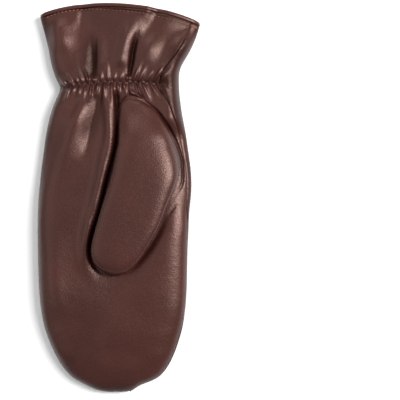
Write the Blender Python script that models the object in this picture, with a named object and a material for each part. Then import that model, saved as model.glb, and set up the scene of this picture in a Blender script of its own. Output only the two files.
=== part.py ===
"""A left-hand leather mitten with a gathered wrist, lying palm up on its back.

+X is the thumb side, +Y the cuff and +Z up out of the palm. Lengths are in metres. The palm, the back
and the thumb are hollow leather walls; a narrow binding finishes the mouth of the cuff.
"""

import math
from collections import namedtuple

import bmesh
import bpy
import numpy as np
from mathutils import Vector
from mathutils.bvhtree import BVHTree

# Hand and cuff
HAND_LENGTH = 0.203         # fingertip seam to the gather line
CUFF_LENGTH = 0.0530        # gather line to the middle of the mouth
PALM_WIDTH = 0.100
WRIST_WIDTH = 0.082
CUFF_WIDTH = 0.108
BACK_DROP = 0.0085          # side seam down to the surface that the mitten lies on
PALM_RISE = 0.0115          # side seam up to the crown of the palm
TIP_ROUND = 0.026           # length over which the fingertip rounds off in height
TIP_FULLNESS = 2.2          # 2 is a round fingertip from the side, more is a blunter one
TIP_BOW = 0.0018            # how far the fingertip bulges between its corners
SIDE_FULLNESS = 3.2         # 2 is an ellipse, more is a flatter palm with tighter sides
REST_PRESS = 0.0015         # how far the back is flattened where it rests
HEM_BOW = 0.0092            # rise of the mouth's edge between its ends
HEM_SLANT = 0.0027          # how much lower its thumb end is than the middle, and its other end higher
HEM_LIFT = 0.0006           # the back stands this far off the surface at the mouth
HEM_LIFT_START = 1.7        # share along the mitten from where it lifts

# Leather and seams
LEATHER = 0.0016
SEAM_GAP = 0.0004
THUMB_SIDE_WRAP = 0.0134    # how far the back comes round onto the palm at the wrist
LITTLE_SIDE_WRAP = 0.0035   # how far the palm goes round under the little finger's edge
LITTLE_WRAP_EASE = 0.12     # share of the hand's length over which it comes to that at the fingertip
BINDING_LENGTH = 0.0022
BINDING_PROUD = 0.0003      # the binding stands this far above the leather beside it

# Gathers at the wrist
GATHER_REACH = 0.019        # the tucks die out this far either side of the gather line
GATHER_DEPTH = 0.0026
GATHER_HALF_WIDTH = 0.0038
TUCK_HEIGHT = 0.0019
TUCK_FLAT = 0.20            # share of GATHER_REACH over which the tucks keep their full height
TUCK_FADE = 0.42            # and the share over which they die out
PUFF_HEIGHT = 0.0012
PUFF_PLACE = 0.6            # the leather puffs up most at this share of GATHER_REACH
PUFF_SPREAD = 0.4
GATHER_EASE = 0.25          # radians round the slice over which the gathers begin at the thumb side
GATHER_FADE = (2.6, 3.0)    # and the angles between which they end at the little finger's side
FOLD_EDGE = 0.6             # folds reach their full height at this sine of the angle round the slice

# Thumb
THUMB_LENGTH = 0.120
THUMB_WIDTH = 0.047
THUMB_DEPTH = 0.0135
THUMB_ANGLE = 15.0          # degrees that it leans from the hand's length
THUMB_FULLNESS = 2.4
THUMB_DENT = 0.0040         # how far the thumb presses the palm in
THUMB_DENT_REACH = 0.45     # in shares of the thumb's width
THUMB_DENT_PATH = ((0.10, 0.0), (0.55, 0.12))   # its ends, in shares along and across the thumb
THUMB_ARCH_BOW = 0.0016
THUMB_HOLE_LEDGE = 0.0022   # the palm's edge under the thumb's seam
THUMB_SEAT_REACH = 0.0018   # the thumb sits clear of the folds of the palm this far round it
THUMB_TIP_STEP = 0.008      # the point of its tip lies this share of its length past its first slice
THUMB_END_ROWS = 4          # slices at each end over which the wall turns from sideways to lengthways
LEAST_INNER_SHARE = 0.25    # the inner face keeps at least this share of the outer one's height

# Raised points on the back
POINT_HEIGHT = 0.0011
POINT_HALF_WIDTH = 0.0013
POINT_SPREAD_FINGERS = 0.0243
POINT_SPREAD_WRIST = 0.0108

# Where the thumb sits: shares of the hand's length and half width, and of the thumb's own length
ThumbBase = namedtuple("ThumbBase", "along across thumb_share")
THUMB_BASE = ThumbBase(along=0.729, across=0.296, thumb_share=0.62)

# Mesh fineness
PALM_COLUMNS = 40
HAND_ROWS = 13
CUFF_ROWS = 6
GATHER_ROWS = (0.22, 0.45, 0.70)    # shares of GATHER_REACH either side of the gather line
TIP_STEP = 15               # degrees
THUMB_COLUMNS = 22
BINDING_COLUMNS = 60
SLICE_POINTS = 721
SEAT_RAYS = 8

# Slices across the mitten. along runs 0 to 1 from fingertip to gather line and 1 to 2 up the cuff;
# left and right are shares of half the named width, seam a share of BACK_DROP, rise of PALM_RISE.
Slice = namedtuple("Slice", "along width left right seam rise")
SLICES = (
    Slice(0.000, PALM_WIDTH, -0.300, 0.150, 0.66, 0.88),
    Slice(0.017, PALM_WIDTH, -0.440, 0.290, 0.68, 0.89),
    Slice(0.036, PALM_WIDTH, -0.580, 0.445, 0.71, 0.90),
    Slice(0.056, PALM_WIDTH, -0.685, 0.550, 0.74, 0.90),
    Slice(0.096, PALM_WIDTH, -0.810, 0.670, 0.80, 0.91),
    Slice(0.135, PALM_WIDTH, -0.905, 0.755, 0.86, 0.92),
    Slice(0.175, PALM_WIDTH, -0.975, 0.810, 0.92, 0.93),
    Slice(0.214, PALM_WIDTH, -1.018, 0.848, 0.96, 0.94),
    Slice(0.293, PALM_WIDTH, -1.062, 0.886, 1.00, 0.96),
    Slice(0.432, PALM_WIDTH, -1.086, 0.900, 1.00, 1.00),
    Slice(0.610, PALM_WIDTH, -1.084, 0.938, 1.00, 1.00),
    Slice(0.689, PALM_WIDTH, -1.062, 0.968, 1.00, 0.98),
    Slice(0.787, PALM_WIDTH, -1.022, 0.938, 1.00, 0.94),
    Slice(0.847, PALM_WIDTH, -0.992, 0.910, 0.99, 0.90),
    Slice(0.900, PALM_WIDTH, -0.945, 0.862, 0.98, 0.86),
    Slice(0.950, WRIST_WIDTH, -1.068, 1.022, 0.97, 0.80),
    Slice(0.980, WRIST_WIDTH, -0.995, 1.004, 0.96, 0.76),
    Slice(1.000, WRIST_WIDTH, -0.962, 1.000, 0.96, 0.74),
    Slice(1.080, WRIST_WIDTH, -1.030, 0.998, 0.98, 0.76),
    Slice(1.200, CUFF_WIDTH, -0.822, 0.760, 1.00, 0.79),
    Slice(1.370, CUFF_WIDTH, -0.862, 0.800, 1.02, 0.80),
    Slice(1.550, CUFF_WIDTH, -0.886, 0.876, 1.03, 0.78),
    Slice(1.720, CUFF_WIDTH, -0.922, 0.934, 1.03, 0.76),
    Slice(1.900, CUFF_WIDTH, -0.966, 0.990, 1.02, 0.74),
    Slice(2.000, CUFF_WIDTH, -0.992, 1.016, 1.02, 0.73),
)

# The seam on the thumb side, as a share of THUMB_SIDE_WRAP in from the edge of the palm
SeamRow = namedtuple("SeamRow", "along inset")
THUMB_SIDE_SEAM = (
    SeamRow(0.00, 0.00),
    SeamRow(0.10, 0.04),
    SeamRow(0.56, 0.06),
    SeamRow(0.62, 0.24),
    SeamRow(0.70, 0.22),
    SeamRow(0.81, 0.31),
    SeamRow(0.87, 0.36),
    SeamRow(0.91, 0.46),
    SeamRow(0.945, 0.62),
    SeamRow(0.975, 0.84),
    SeamRow(1.00, 1.00),
    SeamRow(1.06, 1.00),
    SeamRow(1.19, 0.86),
    SeamRow(1.38, 0.58),
    SeamRow(1.56, 0.50),
    SeamRow(2.00, 0.45),
)

# Folds of the palm side: a path of (along, across) shares, a reach in shares of PALM_WIDTH and a
# height in shares of PALM_RISE, less than nothing for a valley
Fold = namedtuple("Fold", "name path reach height")
FOLDS = (
    Fold("cuff valley, little side", ((1.28, -0.49), (1.60, -0.49), (2.00, -0.48)), 0.034, -0.20),
    Fold("cuff valley, thumb side",
         ((1.16, 0.25), (1.45, 0.29), (1.70, 0.35), (2.00, 0.45)), 0.036, -0.22),
    Fold("cuff ridge, thumb side", ((1.12, 0.06), (1.45, 0.14), (1.80, 0.20)), 0.040, 0.14),
    Fold("cuff swell, little side", ((1.30, -0.82), (1.80, -0.84)), 0.070, 0.12),
    Fold("cuff swell, seam side", ((1.18, 0.52), (1.45, 0.64), (1.75, 0.78)), 0.060, 0.12),
    Fold("palm ridge, little side",
         ((0.97, -0.50), (0.88, -0.60), (0.76, -0.74), (0.66, -0.84)), 0.060, 0.14),
    Fold("palm valley, middle", ((0.95, -0.42), (0.87, -0.38), (0.80, -0.34)), 0.040, -0.14),
    Fold("ridge beside the thumb",
         ((0.96, -0.20), (0.87, -0.03), (0.77, -0.07), (0.66, -0.17), (0.54, -0.30), (0.46, -0.34)),
         0.030, 0.20),
    Fold("fold at the thumb's arch", ((0.985, 0.10), (0.955, 0.24), (0.93, 0.40)), 0.028, 0.12),
    Fold("pucker at the crotch", ((0.60, 0.98), (0.585, 0.76)), 0.030, -0.20),
)

# Thumb slices from its tip to the arch at its base: left and right ends in shares of THUMB_LENGTH
# along and THUMB_WIDTH across, rise and drop in shares of THUMB_DEPTH about the middle, and the
# half angle in degrees by which its underside is open to the palm
ThumbSlice = namedtuple("ThumbSlice", "left_along left right_along right rise drop open_angle")
THUMB_SLICES = (
    ThumbSlice(0.010, -0.120, 0.014, 0.100, 0.17, 0.16, 0),
    ThumbSlice(0.028, -0.230, 0.042, 0.215, 0.31, 0.28, 0),
    ThumbSlice(0.060, -0.318, 0.092, 0.298, 0.42, 0.38, 0),
    ThumbSlice(0.108, -0.374, 0.164, 0.368, 0.49, 0.44, 0),
    ThumbSlice(0.183, -0.390, 0.260, 0.438, 0.53, 0.46, 0),
    ThumbSlice(0.275, -0.385, 0.358, 0.489, 0.55, 0.46, 0),
    ThumbSlice(0.367, -0.383, 0.450, 0.532, 0.57, 0.44, 0),
    ThumbSlice(0.458, -0.374, 0.542, 0.585, 0.60, 0.38, 0),
    ThumbSlice(0.550, -0.370, 0.625, 0.622, 0.64, 0.24, 32),
    ThumbSlice(0.650, -0.383, 0.708, 0.580, 0.63, 0.08, 62),
    ThumbSlice(0.750, -0.398, 0.783, 0.478, 0.56, 0.00, 90),
    ThumbSlice(0.833, -0.421, 0.858, 0.345, 0.46, 0.00, 90),
    ThumbSlice(0.900, -0.447, 0.917, 0.196, 0.33, 0.00, 90),
    ThumbSlice(0.954, -0.462, 0.967, 0.032, 0.18, 0.00, 90),
    ThumbSlice(0.988, -0.400, 0.992, -0.180, 0.00, 0.00, 90),
)

# The three points, with the ends of each as along shares and its side of the middle one
Point = namedtuple("Point", "side finger_end wrist_end")
POINTS = (
    Point(-1, 0.548, 0.867),
    Point(0, 0.503, 0.845),
    Point(1, 0.548, 0.867),
)
POINT_FADE = 0.03           # share of the hand's length over which a point comes up
COLUMN_EASE = 0.15          # and over which the mesh columns close up on it
BACK_LEFT_COLUMNS = 5
BACK_BETWEEN_COLUMNS = 1
BACK_RIGHT_COLUMNS = 4
BACK_SIDE_COLUMNS = 7
BACK_TURN_ANGLE = 0.8       # where the back starts to turn up at the thumb side, in radians below the edge

# The binding's section, in shares of half its thickness across and of its length along
BindingCorner = namedtuple("BindingCorner", "across along")
BINDING_SECTION = (
    BindingCorner(1.0, 0.00),
    BindingCorner(1.0, 0.55),
    BindingCorner(0.5, 0.90),
    BindingCorner(-0.5, 0.90),
    BindingCorner(-1.0, 0.55),
    BindingCorner(-1.0, 0.00),
)

LEATHER_COLOUR = (0.085, 0.030, 0.024, 1.0)
LEATHER_ROUGHNESS = 0.42


def smoothstep(value, low, high):
    share = np.clip((value - low) / (high - low), 0.0, 1.0)
    return share * share * (3.0 - 2.0 * share)


def curve_through(value, places, heights):
    """The height at value of a smooth curve through the given places."""
    slopes = np.gradient(heights, places)
    index = int(np.clip(np.searchsorted(places, value) - 1, 0, len(places) - 2))
    span = places[index + 1] - places[index]
    share = (value - places[index]) / span
    start, end = heights[index], heights[index + 1]
    rise_start, rise_end = slopes[index] * span, slopes[index + 1] * span
    cubic = 2 * start - 2 * end + rise_start + rise_end
    square = -3 * start + 3 * end - 2 * rise_start - rise_end
    return ((cubic * share + square) * share + rise_start) * share + start


def column(table, name):
    return np.array([getattr(row, name) for row in table], dtype=float)


def distance_along(along):
    """Metres from the gather line, towards the mouth."""
    return (along - 1.0) * (HAND_LENGTH if along < 1.0 else CUFF_LENGTH)


def tip_roundness(along):
    """Nothing at the fingertip's seam, growing to 1 where the hand has its full height."""
    share = min(along * HAND_LENGTH / TIP_ROUND, 1.0)
    return math.sqrt(1.0 - (1.0 - share) ** TIP_FULLNESS)


class HandSlice:
    """One slice across the mitten. Angles run in radians from under the middle, past the thumb side."""

    def __init__(self, along):
        places = column(SLICES, "along")
        half_widths = column(SLICES, "width") / 2
        self.along = along
        left = curve_through(along, places, column(SLICES, "left") * half_widths)
        right = curve_through(along, places, column(SLICES, "right") * half_widths)
        self.middle = (left + right) / 2
        self.half = (right - left) / 2
        self.roundness = tip_roundness(along)
        self.seam_height = BACK_DROP * curve_through(along, places, column(SLICES, "seam"))
        self.rise = PALM_RISE * curve_through(along, places, column(SLICES, "rise"))
        self.drop = self.seam_height + REST_PRESS
        self.floor = HEM_LIFT * float(smoothstep(along, HEM_LIFT_START, 2.0))
        self.angles = np.linspace(-math.pi / 2, 3 * math.pi / 2, SLICE_POINTS)
        x, z = self.profile(self.angles, 0.0)
        steps = np.hypot(np.diff(x), np.diff(z))
        self.lengths = np.concatenate(([0.0], np.cumsum(steps)))
        self.girth = self.lengths[-1]

    def profile(self, angles, wall):
        """x and z of the slice, wall metres inside the outer face."""
        across = np.sign(np.cos(angles)) * np.abs(np.cos(angles)) ** (2 / SIDE_FULLNESS)
        up = np.sin(angles)
        rise = SEAM_GAP / 2 + self.roundness * (self.rise - wall)
        drop = SEAM_GAP / 2 + self.roundness * (self.drop - wall)
        x = self.middle + (self.half - wall) * across
        z = self.seam_height + np.where(up > 0, rise, drop) * up
        return x, np.maximum(z, self.floor + wall)

    def length_at(self, angle):
        return float(np.interp(angle, self.angles, self.lengths))

    def angles_at(self, lengths):
        return np.interp(np.mod(lengths, self.girth), self.lengths, self.angles)

    def seam_angles(self):
        """The thumb-side seam, on the palm, and the little-finger seam, underneath."""
        share = curve_through(self.along, column(THUMB_SIDE_SEAM, "along"), column(THUMB_SIDE_SEAM, "inset"))
        thumb_inset = THUMB_SIDE_WRAP * max(share, 0.0)
        little_inset = LITTLE_SIDE_WRAP * float(smoothstep(self.along, 0.0, LITTLE_WRAP_EASE))
        power = SIDE_FULLNESS / 2
        thumb = math.acos(min((1 - thumb_inset / self.half) ** power, 1.0))
        little = math.pi + math.acos(min((1 - little_inset / self.half) ** power, 1.0))
        return thumb, little

    def length_under(self, x):
        """The length round the slice of the place at x on its underside, past a whole turn if need be."""
        across = (x - self.middle) / self.half
        turn = math.acos(math.copysign(abs(across) ** (SIDE_FULLNESS / 2), across))
        if across >= 0:
            return self.length_at(-turn) + self.girth
        return self.length_at(2 * math.pi - turn)

    def plan_y(self, x, wall=0.0):
        """y of the points at x, with the bow of the fingertip and of the mouth."""
        across = np.clip((x - self.middle) / self.half, -1.0, 1.0)
        tip_share = 1 - smoothstep(self.along * HAND_LENGTH, 0.0, TIP_ROUND / 2)
        mouth_share = smoothstep(self.along, 1.0, 2.0)
        y = distance_along(self.along) - TIP_BOW * tip_share * (1 - across ** 2)
        y = y - mouth_share * (HEM_BOW * across ** 2 + HEM_SLANT * across)
        return y + wall * (1 - smoothstep(self.along * HAND_LENGTH, 0.0, TIP_ROUND))


def place(along, across):
    """The plan position of a share along and across the mitten."""
    cut = HandSlice(along)
    x = cut.middle + across * cut.half
    return np.array([x, float(cut.plan_y(np.array(x)))])


def thumb_place(along, across):
    """The plan position of a share along and across the thumb."""
    lean = math.radians(THUMB_ANGLE)
    forward = np.array([math.sin(lean), math.cos(lean)])
    sideways = np.array([math.cos(lean), -math.sin(lean)])
    base = place(THUMB_BASE.along, THUMB_BASE.across)
    return base + forward * (along - THUMB_BASE.thumb_share) * THUMB_LENGTH + sideways * across * THUMB_WIDTH


def distance_to_path(x, y, path):
    """Distance of each point to the nearest stretch of a path."""
    nearest = np.full(np.shape(x), np.inf)
    for start, end in zip(path[:-1], path[1:]):
        run = end - start
        share = ((x - start[0]) * run[0] + (y - start[1]) * run[1]) / run.dot(run)
        share = np.clip(share, 0.0, 1.0)
        nearest = np.minimum(nearest, np.hypot(x - start[0] - share * run[0], y - start[1] - share * run[1]))
    return nearest


FOLD_PATHS = [[place(*stop) for stop in fold.path] for fold in FOLDS]


def fold_height(x, y):
    """What the folds and the dent under the thumb add to the palm's height."""
    height = np.zeros(np.shape(x))
    for fold, path in zip(FOLDS, FOLD_PATHS):
        reach = fold.reach * PALM_WIDTH
        height += fold.height * PALM_RISE * np.exp(-(distance_to_path(x, y, path) / reach) ** 2)
    dent_path = [thumb_place(*stop) for stop in THUMB_DENT_PATH]
    dent_reach = THUMB_DENT_REACH * THUMB_WIDTH
    return height - THUMB_DENT * np.exp(-(distance_to_path(x, y, dent_path) / dent_reach) ** 2)


def gather_height(along, tuck_signs):
    """The valley of the gather line, the puffs beside it and the tucks across it."""
    away = abs(distance_along(along))
    valley = GATHER_DEPTH * math.exp(-(away / GATHER_HALF_WIDTH) ** 2)
    puff = PUFF_HEIGHT * math.exp(-((away / GATHER_REACH - PUFF_PLACE) / PUFF_SPREAD) ** 2)
    tuck = TUCK_HEIGHT / 2 * math.exp(-(max(away / GATHER_REACH - TUCK_FLAT, 0) / TUCK_FADE) ** 2)
    return puff - valley + tuck * tuck_signs


def upper_share(angles):
    """1 on the palm side, fading to nothing at the mitten's edges."""
    return smoothstep(np.sin(angles), 0.0, FOLD_EDGE)


def gather_share(angles, cut):
    """1 across the gathered stretch, fading towards both of its ends."""
    thumb_seam = cut.seam_angles()[0]
    begun = smoothstep(angles, thumb_seam, thumb_seam + GATHER_EASE)
    return begun * (1 - smoothstep(angles, *GATHER_FADE))


def slice_points(cut, angles, extra):
    """The outer and inner points of one row, raised by the folds and by extra metres."""
    outer_x, outer_z = cut.profile(angles, 0.0)
    inner_x, inner_z = cut.profile(angles, LEATHER)
    outer_y = cut.plan_y(outer_x)
    raised = upper_share(angles) * cut.roundness * fold_height(outer_x, outer_y) + extra
    outer = np.column_stack((outer_x, outer_y, outer_z + raised))
    inner_y = np.where(cut.roundness < 1.0, cut.plan_y(outer_x, LEATHER), outer_y)
    inner = np.column_stack((inner_x, inner_y, inner_z + raised))
    return outer, inner


def row_stations():
    """Shares along the mitten where the rows of the mesh lie, closest at the gathers."""
    tip = TIP_ROUND / HAND_LENGTH
    below = 1 - GATHER_REACH / HAND_LENGTH
    above = 1 + GATHER_REACH / CUFF_LENGTH
    rounding = [tip * (1 - math.cos(math.radians(angle))) for angle in range(0, 90, TIP_STEP)]
    hand = np.linspace(tip, below, HAND_ROWS, endpoint=False)
    under_line = [1 + (below - 1) * share for share in reversed(GATHER_ROWS)]
    over_line = [1 + (above - 1) * share for share in GATHER_ROWS]
    cuff = np.linspace(above, 2.0, CUFF_ROWS)
    return [*rounding, *hand, below, *under_line, 1.0, *over_line, *cuff]


def palm_rows(stations, signs):
    """Rows of the palm, with each column raised or lowered by the tucks as its sign says."""
    rows = []
    for along in stations:
        cut = HandSlice(along)
        thumb_seam, little_seam = cut.seam_angles()
        start = cut.length_at(thumb_seam) + SEAM_GAP / 2
        end = cut.length_at(little_seam) - SEAM_GAP / 2
        angles = cut.angles_at(np.linspace(start, end, PALM_COLUMNS + 1))
        share = gather_share(angles, cut)
        rows.append(slice_points(cut, angles, share * gather_height(along, signs)))
    return rows


def point_presence(along, point):
    rise = smoothstep(along, point.finger_end - POINT_FADE, point.finger_end)
    return float(rise * (1 - smoothstep(along, point.wrist_end, point.wrist_end + POINT_FADE)))


def point_spread(along):
    fingers, wrist = POINTS[0].finger_end, POINTS[0].wrist_end
    share = np.clip((along - fingers) / (wrist - fingers), 0.0, 1.0)
    return POINT_SPREAD_FINGERS + (POINT_SPREAD_WRIST - POINT_SPREAD_FINGERS) * share


def back_columns(cut, start, end):
    """Lengths round the slice of the back's columns, five of them closed up on each point."""
    tight = [start]
    turn = cut.length_at(-BACK_TURN_ANGLE) + cut.girth
    gaps = [BACK_LEFT_COLUMNS] + [BACK_BETWEEN_COLUMNS + 1] * 2
    for point, gap in zip(POINTS, gaps):
        offset = point.side * point_spread(cut.along) * cut.half * 2 / PALM_WIDTH
        crest = cut.length_under(cut.middle + offset)
        tight += list(np.linspace(tight[-1], crest - 2 * POINT_HALF_WIDTH, gap + 1))[1:]
        tight += [crest + step * POINT_HALF_WIDTH for step in (-1, 0, 1, 2)]
    tight += list(np.linspace(tight[-1], turn, BACK_RIGHT_COLUMNS + 1))[1:]
    even = np.linspace(start, turn, len(tight))
    fingers = POINTS[1].finger_end
    wrist = POINTS[0].wrist_end
    near = smoothstep(cut.along, fingers - COLUMN_EASE, fingers)
    near *= 1 - smoothstep(cut.along, wrist, wrist + COLUMN_EASE)
    flat = even + (np.array(tight) - even) * near
    return np.concatenate((flat, np.linspace(turn, end, BACK_SIDE_COLUMNS + 1)[1:]))


def back_relief(along, count):
    """The two grooves that make a raised point between them stand out."""
    relief = np.zeros(count)
    crest = BACK_LEFT_COLUMNS + 2
    for point in POINTS:
        relief[crest - 1] = relief[crest + 1] = POINT_HEIGHT * point_presence(along, point)
        crest += 5 + BACK_BETWEEN_COLUMNS
    return relief


def back_rows(stations):
    rows = []
    for along in stations:
        cut = HandSlice(along)
        thumb_seam, little_seam = cut.seam_angles()
        start = cut.length_at(little_seam) + SEAM_GAP / 2
        end = cut.length_at(thumb_seam) - SEAM_GAP / 2 + cut.girth
        lengths = back_columns(cut, start, end)
        angles = cut.angles_at(lengths)
        rows.append(slice_points(cut, angles, back_relief(along, len(angles))))
    return rows


def add_grid(mesh, rows):
    """Quads between neighbouring rows of vertices."""
    for row, following in zip(rows[:-1], rows[1:]):
        for index in range(len(row) - 1):
            corners = [row[index], row[index + 1], following[index + 1], following[index]]
            mesh.faces.new(dict.fromkeys(corners))


def add_rim(mesh, outer, inner):
    """Quads that join the outer and inner vertices along a path."""
    for index in range(len(outer) - 1):
        mesh.faces.new([outer[index], outer[index + 1], inner[index + 1], inner[index]])


def finish_object(name, mesh):
    bmesh.ops.recalc_face_normals(mesh, faces=mesh.faces)
    data = bpy.data.meshes.new(name)
    mesh.to_mesh(data)
    mesh.free()
    piece = bpy.data.objects.new(name, data)
    bpy.context.collection.objects.link(piece)
    data.materials.append(leather_material(name))
    data.shade_smooth()
    data.set_sharp_from_angle(angle=math.radians(60))
    return piece


def leather_material(name):
    material = bpy.data.materials.new(name + "_leather")
    material.use_nodes = True
    shader = material.node_tree.nodes["Principled BSDF"]
    shader.inputs["Base Color"].default_value = LEATHER_COLOUR
    shader.inputs["Roughness"].default_value = LEATHER_ROUGHNESS
    return material


def panel(name, rows):
    """A leather wall between its outer and inner rows, closed along all four edges."""
    mesh = bmesh.new()
    outer = [[mesh.verts.new(point) for point in row[0]] for row in rows]
    inner = [[mesh.verts.new(point) for point in row[1]] for row in rows]
    add_grid(mesh, outer)
    add_grid(mesh, inner)
    add_rim(mesh, outer[0], inner[0])
    add_rim(mesh, outer[-1], inner[-1])
    add_rim(mesh, [row[0] for row in outer], [row[0] for row in inner])
    add_rim(mesh, [row[-1] for row in outer], [row[-1] for row in inner])
    return finish_object(name, mesh)


def binding():
    """The bound edge: a bead that follows the mouth of the cuff, one seam gap beyond the leather."""
    cut = HandSlice(2.0)
    lengths = np.linspace(0, cut.girth, BINDING_COLUMNS, endpoint=False)
    outer, inner = slice_points(cut, cut.angles_at(lengths), np.zeros(BINDING_COLUMNS))
    mesh = bmesh.new()
    loops = []
    for outside, inside in zip(outer, inner):
        middle = Vector((outside + inside) / 2)
        outward = Vector(outside - inside)
        outward.normalize()
        half = LEATHER / 2 + BINDING_PROUD
        loop = []
        for corner in BINDING_SECTION:
            spot = middle + outward * half * corner.across
            spot.y += SEAM_GAP + BINDING_LENGTH * corner.along
            spot.z = max(spot.z, 0.0)
            loop.append(mesh.verts.new(spot))
        loops.append(loop + loop[:1])
    add_grid(mesh, loops + loops[:1])
    return finish_object("hem_binding", mesh)


def palm_cover(rows):
    """The outer face of the given palm rows, ready to have a thumb seated on it."""
    spots = [Vector(point) for row in rows for point in row[0]]
    width = len(rows[0][0])
    corners = [first + step for first in range(0, len(spots) - width, width) for step in range(width - 1)]
    return BVHTree.FromPolygons(spots, [[spot, spot + 1, spot + width + 1, spot + width] for spot in corners])


def seat_height(palm_tree, x, y):
    """The highest place of the palm's outer face within a seat's reach of a plan position."""
    heights = [BACK_DROP]
    for turn in range(SEAT_RAYS):
        angle = turn * 2 * math.pi / SEAT_RAYS
        spot = Vector((x + THUMB_SEAT_REACH * math.cos(angle), y + THUMB_SEAT_REACH * math.sin(angle), 1.0))
        hit = palm_tree.ray_cast(spot, Vector((0, 0, -1)))[0]
        if hit:
            heights.append(hit.z)
    return max(heights)


def thumb_row(row, index, palm_tree, wall):
    """The points of one slice of the thumb, wall metres inside its outer face."""
    last = len(THUMB_SLICES) - 1
    right = thumb_place(row.right_along, row.right)
    left = thumb_place(row.left_along, row.left)
    forward = thumb_place(1, 0) - thumb_place(0, 0)
    forward = forward / np.linalg.norm(forward)
    middle = (left + right) / 2
    half = (right - left) / 2
    tipward = max(1 - index / THUMB_END_ROWS, 0) - max(1 - (last - index) / THUMB_END_ROWS, 0)
    middle = middle + forward * wall * tipward
    half = half * (1 - wall / np.linalg.norm(half))
    openness = row.open_angle / 90
    full_rise, full_drop = row.rise * THUMB_DEPTH, row.drop * THUMB_DEPTH
    rise = max(full_rise - wall, LEAST_INNER_SHARE * full_rise)
    drop = max(full_drop - wall, LEAST_INNER_SHARE * full_drop)
    middle_seat = seat_height(palm_tree, *middle)
    open_angle = math.radians(row.open_angle)
    points = []
    for angle in np.linspace(open_angle - math.pi / 2, 3 * math.pi / 2 - open_angle, THUMB_COLUMNS + 1):
        across = math.copysign(abs(math.cos(angle)) ** (2 / THUMB_FULLNESS), math.cos(angle))
        up = math.sin(angle)
        plan = middle + half * across
        if index == last:
            plan = plan + forward * THUMB_ARCH_BOW * up
        seat = seat_height(palm_tree, *plan)
        level = middle_seat + (seat - middle_seat) * openness + SEAM_GAP + full_drop
        height = level + (rise if up > 0 else drop) * up
        lowest = seat + SEAM_GAP + wall * (1 - openness)
        points.append(Vector((plan[0], plan[1], max(height, lowest))))
    return points


def thumb_surface(mesh, palm_tree, wall):
    """Vertex rows of the thumb's outer or inner face, with its tip closed by a fan."""
    rows = []
    for index, row in enumerate(THUMB_SLICES):
        points = thumb_row(row, index, palm_tree, wall)
        if row.open_angle:
            rows.append([mesh.verts.new(point) for point in points])
        else:
            ring = [mesh.verts.new(point) for point in points[:-1]]
            rows.append(ring + ring[:1])
    add_grid(mesh, rows)
    ring = rows[0][:-1]
    middle = sum((vertex.co for vertex in ring), Vector()) / len(ring)
    tip_step = thumb_place(0, 0) - thumb_place(THUMB_TIP_STEP, 0)
    pole = mesh.verts.new(middle + Vector((tip_step[0], tip_step[1], 0)))
    for vertex, following in zip(ring, ring[1:] + ring[:1]):
        mesh.faces.new([vertex, following, pole])
    return rows


def rim_path(rows):
    """The base seam: from the crotch up one side, over the arch and down the other side."""
    first_open = next(index for index, row in enumerate(THUMB_SLICES) if row.open_angle)
    crotch = rows[first_open - 1][0]
    thumb_side = [row[0] for row in rows[first_open:]]
    palm_side = [row[-1] for row in rows[first_open:]]
    return [crotch] + thumb_side + rows[-1][1:-1] + palm_side[::-1] + [crotch]


def thumb(palm_tree):
    mesh = bmesh.new()
    outer = thumb_surface(mesh, palm_tree, 0.0)
    inner = thumb_surface(mesh, palm_tree, LEATHER)
    outer_rim, inner_rim = rim_path(outer), rim_path(inner)
    add_rim(mesh, outer_rim, inner_rim)
    outline = [vertex.co.xy.copy() for vertex in inner_rim[:-1]]
    return finish_object("thumb", mesh), outline


def cut_thumb_hole(palm, outline):
    """Open the palm under the thumb, leaving a ledge for the thumb's seam."""
    centre = sum(outline, Vector((0, 0))) / len(outline)
    mesh = bmesh.new()
    lower = []
    for spot in outline:
        inward = centre - spot
        inward.normalize()
        edge = spot + inward * THUMB_HOLE_LEDGE
        lower.append(mesh.verts.new((edge.x, edge.y, 0.5 * BACK_DROP)))
    face = mesh.faces.new(lower)
    raised = bmesh.ops.extrude_face_region(mesh, geom=[face])
    top = [item for item in raised["geom"] if isinstance(item, bmesh.types.BMVert)]
    bmesh.ops.translate(mesh, verts=top, vec=(0, 0, 2 * BACK_DROP + 2 * PALM_RISE))
    cutter = finish_object("thumb_hole_cutter", mesh)
    cutter.hide_render = True
    cutter.display_type = 'WIRE'
    hole = palm.modifiers.new("thumb_hole", 'BOOLEAN')
    hole.operation = 'DIFFERENCE'
    hole.solver = 'EXACT'
    hole.object = cutter
    return cutter


def stand_on_origin(pieces):
    """Parent the pieces to an empty that puts the middle of their lowest face on the origin."""
    corners = np.array([vertex.co for piece in pieces for vertex in piece.data.vertices])
    low, high = corners.min(axis=0), corners.max(axis=0)
    root = bpy.data.objects.new("mitten", None)
    bpy.context.collection.objects.link(root)
    root.location = (-(low[0] + high[0]) / 2, -(low[1] + high[1]) / 2, -low[2])
    return root


def build():
    for old in list(bpy.data.objects):
        bpy.data.objects.remove(old)
    stations = row_stations()
    tuck_signs = np.where(np.arange(PALM_COLUMNS + 1) % 2 == 0, -1.0, 1.0)
    palm = panel("palm_panel", palm_rows(stations, tuck_signs))
    back = panel("back_panel", back_rows(stations))
    hem = binding()
    stall, hole_outline = thumb(palm_cover(palm_rows(stations, np.ones(PALM_COLUMNS + 1))))
    cutter = cut_thumb_hole(palm, hole_outline)
    pieces = [palm, back, hem, stall]
    root = stand_on_origin(pieces)
    for piece in pieces + [cutter]:
        piece.parent = root


build()
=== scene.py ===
import math
from collections import namedtuple

import bpy
import numpy as np
from mathutils import Matrix, Vector
from mathutils.bvhtree import BVHTree


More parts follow.
